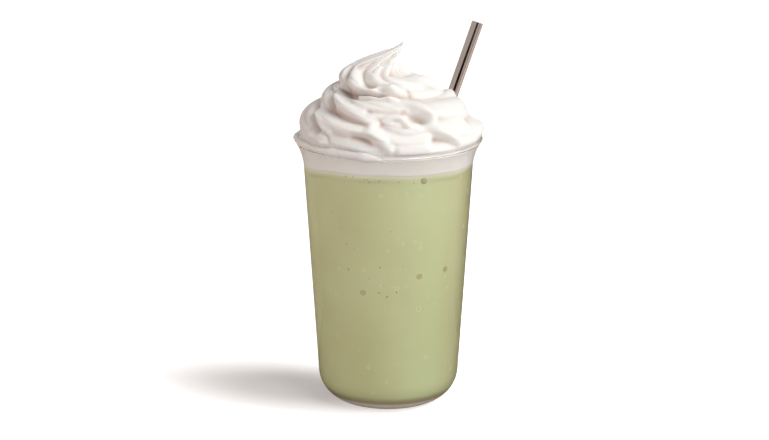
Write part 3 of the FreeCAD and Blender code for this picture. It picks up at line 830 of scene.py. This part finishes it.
# %% Strokes of the lowest turn
LOW_STROKES = [
    ((3.5, 6), (1.8, 4.2), [(-36.1, -14.3, 157.9), (-30.8, -27.2, 156.5), (-25.2, -35.4, 154.7),
        (-18.8, -40.5, 154.1), (-12.5, -43.1, 154.4), (-7.8, -45.2, 153.2), (-4.8, -46.6, 149.6)]),
    ((4.5, 6.5), (-1.8, -4.6), [(-17.3, -43.4, 150.9), (-11.3, -45.9, 149.4),
        (-5.1, -47.3, 146.6)]),
    ((6, 7), (-2, -2.4), [(-4.3, -42.2, 156.3), (0.5, -45.2, 154.2), (6.6, -46.3, 152),
        (13.5, -44.6, 152.3), (20.5, -40.7, 153.7)]),
    ((4, 5), (0.4, 0.4), [(-0.8, -46.8, 151.8), (4.6, -47.3, 149.4), (11.4, -46.5, 147.9),
        (18.3, -44.3, 148.9)]),
    ((4, 5), (0.8, 1.6), [(21.2, -38.3, 155.6), (27.3, -37.3, 153), (33.8, -34.2, 148.2)]),
    ((4, 7), (-1, -4), [(33.7, -34, 144.4), (28.7, -38.7, 147.4), (24.7, -41.3, 147.9)]),
    ((4, 5), (2.4, 2), [(-28.6, -36.4, 147.3), (-19.6, -42.9, 146.6), (-10, -46.3, 146),
        (-0.8, -47.5, 145.5)]),
    ((3.5, 4.5), (-3, -4), [(-35.2, -2.7, 160.8), (-38.5, -15.2, 157.4), (-39.1, -22.4, 153.9),
        (-36.4, -28.4, 151.4)]),
    ((3, 4), (1.2, 1.5), [(-33.1, -9.5, 161.2), (-35.6, -18, 157.4), (-35.1, -27.8, 154.4),
        (-30.7, -34.9, 151.7)]),
    ((2.5, 2.5), (-1.6, -1.4), [(-35, -30.4, 151.4), (-31, -35.1, 150.4),
        (-29.1, -36.4, 147.8)]),
    ((3.5, 4.5), (2, 3), [(-39.3, -24.7, 148.8), (-35.2, -29.3, 148.8), (-32.1, -33.3, 147.1)]),
]

# %% Strokes of the peak, the right side and the foot
LAST_STROKES = [
    ((2, 2.5), (-0.8, -1.6), [(4.4, -2.7, 186.3), (1.2, -5.6, 183.4), (-3.8, -8.7, 180.5)]),
    ((2, 2.5), (-0.8, -1.2), [(4.7, 0.6, 183.8), (4.4, -1.8, 179.7), (5, -7, 176.5)]),
    ((3, 4), (-1.6, -1), [(6.7, -3, 176.2), (10.3, 0.5, 173.5), (16, 5.7, 171.7)]),
    ((5, 6), (1.5, 3), [(1.8, -23.4, 165.9), (10.2, -21.7, 165.5), (18.6, -16.3, 164.9),
        (26, -4.4, 164.1), (30.5, 11.1, 162.5)]),
    ((9, 9), (-4.5, -4.5), [(44, -16, 154), (47, 0, 153.5), (44, 16, 153)]),
    ((4, 4), (1.2, 2.4), [(44, -16, 147.5), (47, -6, 147.8), (47.5, 4, 148)]),
    ((8, 7), (3, 4.5), [(9, 6, 177), (16, 3, 175), (24, 0, 171)]),
    ((5, 6.5), (3, 6.5), [(-11, -22.5, 167.6), (-4, -24.5, 168), (2, -25, 168.2)]),
    ((4.5, 4.5), (1.6, 0.6), [(-46.5, -8, 144.5), (-41.5, -22, 144.5), (-32, -34.5, 144.2),
        (-19, -43, 144), (-6, -46.8, 143.8)]),
    ((4.5, 4), (1.7, 1), [(6, -47, 143.6), (20, -43, 143.8), (33, -34, 144),
        (44, -18, 144.2), (47, -2, 144.4)]),
    ((4.5, 4.5), (0.4, 0.8), [(-8, -46.5, 144), (8, -46.6, 144), (24, -41, 144.2)]),
    ((3, 4), (1, 1.6), [(-17, 4, 180.5), (-9, 2, 184.5), (-2, 1, 188.5)]),
]
STROKES = TOP_STROKES + MIDDLE_STROKES + LOW_STROKES + LAST_STROKES
print("strokes:", len(STROKES))


# %% How a stroke lifts the skin
def rounded(path):
    """A path with its corners cut three times, a quarter of each piece from its ends."""
    path = np.array(path) * MM
    for _ in range(3):
        near = 0.75 * path[:-1] + 0.25 * path[1:]
        far = 0.25 * path[:-1] + 0.75 * path[1:]
        cut = np.stack([near, far], axis=1).reshape(-1, 3)
        path = np.concatenate([path[:1], cut, path[-1:]])
    return path


def stroke_height(points, widths, heights, path):
    """How far one stroke raises or presses points.

    A ridge is height (1 - t^2)^2 and a furrow height (1 - t^1.4)^2, where t is the distance from
    the path over the width. Width and height change evenly along the path.
    """
    path = rounded(path)
    length = np.concatenate([[0], np.cumsum(np.linalg.norm(np.diff(path, axis=0), axis=1))])
    length /= length[-1]
    low, high = path.min(0) - max(widths) * MM, path.max(0) + max(widths) * MM
    near = np.all((points > low) & (points < high), axis=-1)
    spot = points[near]
    best, along = np.full(len(spot), FAR_OUT), np.zeros(len(spot))
    for first, last, start, end in zip(path[:-1], path[1:], length[:-1], length[1:]):
        line = last - first
        share = np.clip((spot - first) @ line / (line @ line), 0, 1)
        gap = np.linalg.norm(spot - first - share[:, None] * line, axis=1)
        along = np.where(gap < best, start + share * (end - start), along)
        best = np.minimum(best, gap)
    width = (widths[0] + (widths[1] - widths[0]) * along) * MM
    height = (heights[0] + (heights[1] - heights[0]) * along) * MM
    t = np.clip(best / width, 0, 1)
    raised = np.zeros(points.shape[:-1])
    raised[near] = height * (1 - t ** np.where(height > 0, 2, 1.4)) ** 2
    return raised


# %% [markdown]
# Deep folds get a painted shade, darker and warmer than the crests, for the light that reaches
# them through cream. How deep a point lies is measured against the mean of its neighbours, once
# close by for the fine folds and once further off for the broad ones.

# %% Depth of the folds
def blurred(points, columns, rows):
    """The mean of each point's neighbours, so many columns and rows to every side."""
    points = sum(np.roll(points, step, axis=0) for step in range(-columns, columns + 1))
    points = points / (2 * columns + 1)
    padded = np.pad(points, ((0, 0), (rows, rows), (0, 0)), mode="edge")
    steps = range(2 * rows + 1)
    return sum(padded[:, step:step + points.shape[1]] for step in steps) / (2 * rows + 1)


def hollow_depth(points, columns, rows):
    """How far points lie below the mean of their neighbours, along the outward normal, in mm.

    The normal is the cross product of the grid's two directions.
    """
    across = np.roll(points, -1, axis=0) - np.roll(points, 1, axis=0)
    along = np.gradient(points, axis=1)
    normal = np.cross(along, across)
    normal /= np.linalg.norm(normal, axis=-1, keepdims=True) + 1e-12
    return ((blurred(points, columns, rows) - points) * normal).sum(-1) / MM


def fold_depth(points, height):
    """How deep points lie in folds, from 0 to 1, fading out over 7 mm at the rim.

    0.15 of a fine fold, full at 0.5 mm, and 0.72 of a broad one, full at 1.5 mm. This gives the
    amount of painted shade in the folds.
    """
    fine, broad = hollow_depth(points, 4, 7), hollow_depth(points, 12, 20)
    print("fold depths in mm:", np.percentile(fine, [50, 90, 99]).round(2),
          np.percentile(broad, [50, 90, 99]).round(2))
    fold = np.clip(fine / 0.5, 0, 1) * 0.15 + np.clip((broad + 0.1) / 1.6, 0, 1) * 0.72
    return fold * ease((height - RIM_HEIGHT) / (7 * MM))


# %% Cream piece
COLUMNS, ROWS = 360, 246


def cream_grid():
    """The cream's skin: out over the drink, up inside the lip and over the swirl to its tip.

    The headings, even + 0.35 cos(even), crowd the columns at the front. Gives the grid and how
    deep each point lies in a fold, from 0 to 1, as the amount of painted shade. Below the rim this
    painted shade is a shallow cosine round, darkest towards the left.
    """
    even = round_angles(COLUMNS)
    heading = even + 0.35 * np.cos(even)
    share = (np.arange(ROWS)[None, :] + 0.5) / ROWS
    radius, height, fall = find_skin(heading, share)
    points = place(radius, height, heading)
    raised = sum((stroke_height(points, *stroke) for stroke in STROKES), np.zeros_like(radius))
    steep = np.arctan(fall)
    radius = np.maximum(radius + raised * np.cos(steep), 0)
    height = height + raised * np.sin(steep)
    fold = fold_depth(place(radius, height, heading), height)
    level = level_height(-heading)
    out = np.linspace(0.01, 0.98, 8)[None, :]
    wall_top = RIM_HEIGHT - 2.4 * MM
    up = level + (wall_top - level) * np.linspace(0, 1, 16)[None, :]
    wall = skin_radius(up, INTO_WALL)
    lip = np.tile([RIM_HEIGHT - 1.6 * MM, RIM_HEIGHT - 0.8 * MM, RIM_HEIGHT], (COLUMNS, 1))
    foot = np.full_like(lip, FOOT_RADIUS)
    radius = np.concatenate([wall[:, :1] * out, wall, foot, radius], axis=1)
    height = np.concatenate([level + 0 * out, up, lip, height], axis=1)
    # Painted shade for the cream under the lip, darker towards the left.
    rim_band_shade = (0.16 - 0.14 * np.cos(heading + 0.5)) * np.ones((1, radius.shape[1] - ROWS))
    fold = np.concatenate([rim_band_shade, fold], axis=1)
    return place(radius, height, heading)[::-1], np.clip(fold, 0, 1)[::-1]


grid, fold = cream_grid()
cream = add_surface("piped_cream", grid, start=drink_top, end=(CURL_FORWARD, 0, TIP_TOP))
# The fold values are the cream's painted shade.
add_values(cream, "fold", fold)
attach(cream, "root")
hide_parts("cream")
print("cream:", len(cream.data.polygons), "faces")

# %% [markdown]
# On the left the cream is smeared over the rim. The smear is a flat tube that follows the bead and
# hangs down at its end. A ring of (out, up) points carried round the rim gives its whole skin.

# %% Smear over the rim
SMEAR_START, SMEAR_TURN = math.radians(-186), math.radians(93)


def smear_grid(count, rows):
    """A tapered tube round the rim, as columns of points round its section.

    The section is (half width cos, half height sin). Both get smaller as sqrt(1 - |2 share - 1|^6)
    at the ends and swell in two waves. Past 0.6 of its length the smear is thicker and lies higher,
    and its end hangs down as share^6.
    """
    turn = round_angles(count)
    share = np.linspace(0.004, 0.996, rows)[None, :]
    angle = SMEAR_START + SMEAR_TURN * share
    taper = np.sqrt(1 - np.abs(2 * share - 1) ** 6)
    wave = 1 + 0.18 * np.sin(23 * share) + 0.1 * np.sin(51 * share + 1)
    lift = ease((share - 0.6) / 0.07)
    out = (1.9 + 0.3 * share) * MM * taper * wave
    up = (1.5 + 0.9 * lift) * MM * taper * wave
    radius = RIM_RADIUS - (1.5 - 0.3 * share) * MM + out * np.cos(turn)
    height = RIM_HEIGHT + (0.1 + 0.6 * lift - 2.6 * share ** 6) * MM + up * np.sin(turn)
    return around(radius, angle, height)[::-1]


grid = smear_grid(24, 150)
smear = add_surface("cream_smear", grid, start=grid[:, 0].mean(0), end=grid[:, -1].mean(0))
add_values(smear, "fold", np.zeros(grid.shape[:2]))
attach(smear, "root")
print("smear:", len(smear.data.polygons), "faces")

# %% [markdown]
# ## The straw
#
# The straw is a drawn steel tube with its ends cut square and lightly rounded. It stands on the
# floor of the cup and leans to the right and back. A ring-shaped section carried along its straight
# axis gives the whole skin, outside, over the lip and down the bore, as one closed loop.

# %% Straw
STRAW_RADIUS, STRAW_WALL, STRAW_LENGTH = 3.0 * MM, 0.5 * MM, 207.8 * MM
LEAN, HEADING = math.radians(22.3), math.radians(29.7)
EDGE = 0.16 * MM
FOOT_GAP = 0.3 * MM
foot_height = BASE_THICKNESS + FOOT_GAP + STRAW_RADIUS * math.sin(LEAN)
straw_foot = np.array([-21.6 * MM, -11.0 * MM, foot_height])
straw_axis = np.array([math.sin(LEAN) * math.cos(HEADING), math.sin(LEAN) * math.sin(HEADING),
                       math.cos(LEAN)])


def tube_section():
    """The closed outline of the tube's wall as (radius, distance along), with rounded edges."""
    outer, inner = STRAW_RADIUS - EDGE, STRAW_RADIUS - STRAW_WALL + EDGE
    low, high = EDGE, STRAW_LENGTH - EDGE
    quarter = math.pi / 2
    corners = [((outer, low), -quarter), ((outer, high), 0),
               ((inner, high), quarter), ((inner, low), 2 * quarter)]
    return np.concatenate([arc(centre, EDGE, turn, turn + quarter, 5) for centre, turn in corners])


def straw_grid(count):
    """The section turned round the straw's axis: foot + radius (side, up) + along axis."""
    angle = round_angles(count)[..., None]
    side = np.cross([0, 0, 1], straw_axis)
    side /= np.linalg.norm(side)
    front = np.cross(straw_axis, side)
    radius, along = tube_section().T[:, None, :, None]
    return straw_foot + radius * (side * np.cos(angle) + front * np.sin(angle)) + along * straw_axis


straw = add_surface("steel_straw", straw_grid(96), joined=True)
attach(straw, "root")
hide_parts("straw")
print("straw:", len(straw.data.polygons), "faces")

# %% [markdown]
# ## Finishes
#
# No surface here has one flat colour or one even gloss. An uneven cloud shifts the colour, the
# gloss or the height of each of them. The cloud is a node group, built once, because the plastic,
# the drink, the cream and the steel all use it with their own scale and range.

# %% Shared cloud group
def make_cloud():
    """A node group: fractal noise at a scale, stretched to run from Low to High.

    The noise keeps mostly between 0.3 and 0.7, so that part becomes the whole range.
    """
    group = bpy.data.node_groups.new("cloud", "ShaderNodeTree")
    for name, side in (("Scale", "INPUT"), ("Detail", "INPUT"), ("Low", "INPUT"),
                       ("High", "INPUT"), ("Value", "OUTPUT")):
        group.interface.new_socket(name, in_out=side, socket_type="NodeSocketFloat")
    entry = group.nodes.new("NodeGroupInput").outputs
    noise = add_node(group, "TexNoise", {"Vector": object_place(group), "Scale": entry["Scale"],
                                         "Detail": entry["Detail"]})
    stretch = add_node(group, "MapRange", {"Value": noise.outputs[0], "From Min": 0.3,
                                           "From Max": 0.7, "To Min": entry["Low"],
                                           "To Max": entry["High"]})
    fill(group, group.nodes.new("NodeGroupOutput"), {"Value": stretch.outputs[0]})
    return group


cloud_group = make_cloud()
print("cloud group:", len(cloud_group.nodes), "nodes")


# %% Finish helpers
def add_cloud(tree, scale, low, high, detail=3.0):
    """Place the cloud group in a tree with its own values, and give back its output."""
    inputs = {"Scale": scale, "Detail": detail, "Low": low, "High": high}
    return add_node(tree, "Group", inputs, node_tree=cloud_group).outputs["Value"]


def add_bump(tree, height, distance, strength):
    """A normal that is tilted by the slope of a height."""
    inputs = {"Height": height, "Distance": distance, "Strength": strength}
    return add_node(tree, "Bump", inputs).outputs["Normal"]


def read_value(tree, name):
    """The numbers stored on the points under a name."""
    return add_node(tree, "Attribute", {}, attribute_name=name).outputs["Fac"]


# %% [markdown]
# ## Clear plastic
#
# The cup is plain clear plastic, so its shape does most of the work: the two skins bend the light
# as the real wall does. The moulding leaves it a little uneven, which a faint broad bump and an
# uneven gloss give. The bead at the rim alone gets a painted shade, for the dark edge one sees
# looking along the bead and through much of it, and this painted shade deepens towards the right.

# %% Clear plastic
CLEAR, RIM_SHADE_LIGHT, RIM_SHADE_DARK = (0.985, 0.985, 0.98), (0.9, 0.88, 0.86), (0.30, 0.25, 0.21)
plastic, tree, shader = new_finish("clear_plastic")
# Painted shade on the bead: a dark colour at the right, fading to a light one towards the left.
edge = mix_colours(tree, axis_mask(tree, "X", 0.048, 0.016), RIM_SHADE_LIGHT, RIM_SHADE_DARK)
bead = axis_mask(tree, "Z", RIM_HEIGHT - 0.25 * BEAD, RIM_HEIGHT - 0.75 * BEAD)
ripple = add_cloud(tree, 45, 0, 1, detail=1.0)
fill(tree, shader, {"Base Color": mix_colours(tree, bead, CLEAR, edge), "IOR": 1.46,
                    "Transmission Weight": 1.0, "Roughness": add_cloud(tree, 60, 0.02, 0.07),
                    "Normal": add_bump(tree, ripple, 0.04 * MM, 0.4)})
cup.data.materials.append(plastic)
print("plastic:", len(tree.nodes), "nodes")

# %% [markdown]
# ## Drink
#
# A blended drink is opaque but soft: light enters a few millimetres and comes out again, which the
# shader's subsurface part gives. Two greens mix in a cloud, and the numbers stored on its points
# bring in a fresher green of painted light, a brown painted shade and the froth. Low down, under
# the thick corner of the plastic, a dark band of painted shade and under it a pale band of painted
# light lie at heights that are masks along Z.

# %% Drink finish
DRINK_DEEP, DRINK_PALE = (0.53, 0.51, 0.272), (0.575, 0.575, 0.326)
DRINK_PAINTED_LIGHT, DRINK_PAINTED_SHADE = (0.585, 0.645, 0.375), (0.28, 0.23, 0.12)
DRINK_FROTH = (0.74, 0.70, 0.58)
FOOT_PAINTED_SHADE, FOOT_PAINTED_LIGHT = (0.39, 0.325, 0.185), (0.80, 0.69, 0.62)


def drink_finish(name, deep, pale, scale):
    """A soft, slightly see-through finish between two greens."""
    finish, tree, shader = new_finish(name)
    body = mix_colours(tree, add_cloud(tree, scale, 0, 1), deep, pale)
    fill(tree, shader, {"Base Color": body, "Roughness": 0.5, "Subsurface Weight": 0.25,
                        "Subsurface Radius": (0.003, 0.003, 0.0015), "Subsurface Scale": 1.0})
    return finish, tree, shader, body


frappe, tree, shader, body = drink_finish("matcha_frappe", DRINK_DEEP, DRINK_PALE, 28)
# Painted light and shade: a brighter green, a brown shade, a dark band over a pale one at the foot.
for mask, colour in ((read_value(tree, "painted_light"), DRINK_PAINTED_LIGHT),
                     (read_value(tree, "shade"), DRINK_PAINTED_SHADE),
                     (axis_mask(tree, "Z", 0.0070, 0.0106), FOOT_PAINTED_SHADE),
                     (axis_mask(tree, "Z", 0.0052, 0.0062), FOOT_PAINTED_LIGHT),
                     (read_value(tree, "foam"), DRINK_FROTH)):
    body = mix_colours(tree, mask, body, colour)
fill(tree, shader, {"Base Color": body})
drink.data.materials.append(frappe)
print("drink finish:", len(tree.nodes), "nodes")

# %% Finish of specks and bubbles
# The pores are painted dark: painted shade inside small air pockets against the wall.
for piece, deep, pale in ((specks, (0.42, 0.37, 0.17), (0.49, 0.44, 0.22)),
                          (pores, (0.31, 0.29, 0.13), (0.37, 0.35, 0.17)),
                          (rings, (0.67, 0.70, 0.45), (0.71, 0.73, 0.49))):
    piece.data.materials.append(drink_finish(piece.name, deep, pale, 900)[0])
    print("finish of", piece.name, "from", deep, "to", pale)

# %% [markdown]
# ## Cream
#
# Whipped cream is near white, with a soft satin gloss. Its folds get a painted shade that is warm
# rather than grey: the stored fold depth mixes the pale colour with this painted shade, the
# subsurface part softens the small folds, and a fine bump stands for the tiny air bubbles in its
# skin.

# %% Cream finish
CREAM_PALE, CREAM_FOLD_SHADE, CREAM_CLOUD = (0.86, 0.835, 0.81), (0.63, 0.51, 0.45), (0.80, 0.76, 0.72)
whipped, tree, shader = new_finish("whipped_cream")
# Painted shade: the folds are mixed towards a warm dark colour.
tone = mix_colours(tree, read_value(tree, "fold"), CREAM_PALE, CREAM_FOLD_SHADE)
tone = mix_colours(tree, add_cloud(tree, 55, 0, 0.12), tone, CREAM_CLOUD)
fill(tree, shader, {"Base Color": tone, "Roughness": add_cloud(tree, 240, 0.4, 0.55),
                    "Specular IOR Level": 0.35, "Subsurface Weight": 0.3,
                    "Subsurface Radius": (0.0022, 0.0013, 0.0009), "Subsurface Scale": 1.0,
                    "Normal": add_bump(tree, add_cloud(tree, 1400, 0, 1), 0.06 * MM, 0.5)})
for piece in (cream, smear):
    piece.data.materials.append(whipped)
print("cream finish:", len(tree.nodes), "nodes")

# %% [markdown]
# ## Steel
#
# A steel straw is polished along its length and shows the room as long stripes. Its colour is a
# warm grey: steel's own grey, warmed by a painted reflection of warm surroundings. Handling leaves
# the polish a little uneven, so the gloss gets a fine cloud.

# %% Steel finish
STEEL_DEEP, STEEL_PALE = (0.74, 0.605, 0.53), (0.80, 0.67, 0.59)
steel, tree, shader = new_finish("polished_steel")
# Painted reflection: the warm grey carries warm surroundings that the straw mirrors.
tone = mix_colours(tree, add_cloud(tree, 120, 0, 1), STEEL_DEEP, STEEL_PALE)
fill(tree, shader, {"Base Color": tone, "Metallic": 1.0,
                    "Roughness": add_cloud(tree, 400, 0.08, 0.16)})
straw.data.materials.append(steel)
print("finishes:", [item.name for item in bpy.data.materials])
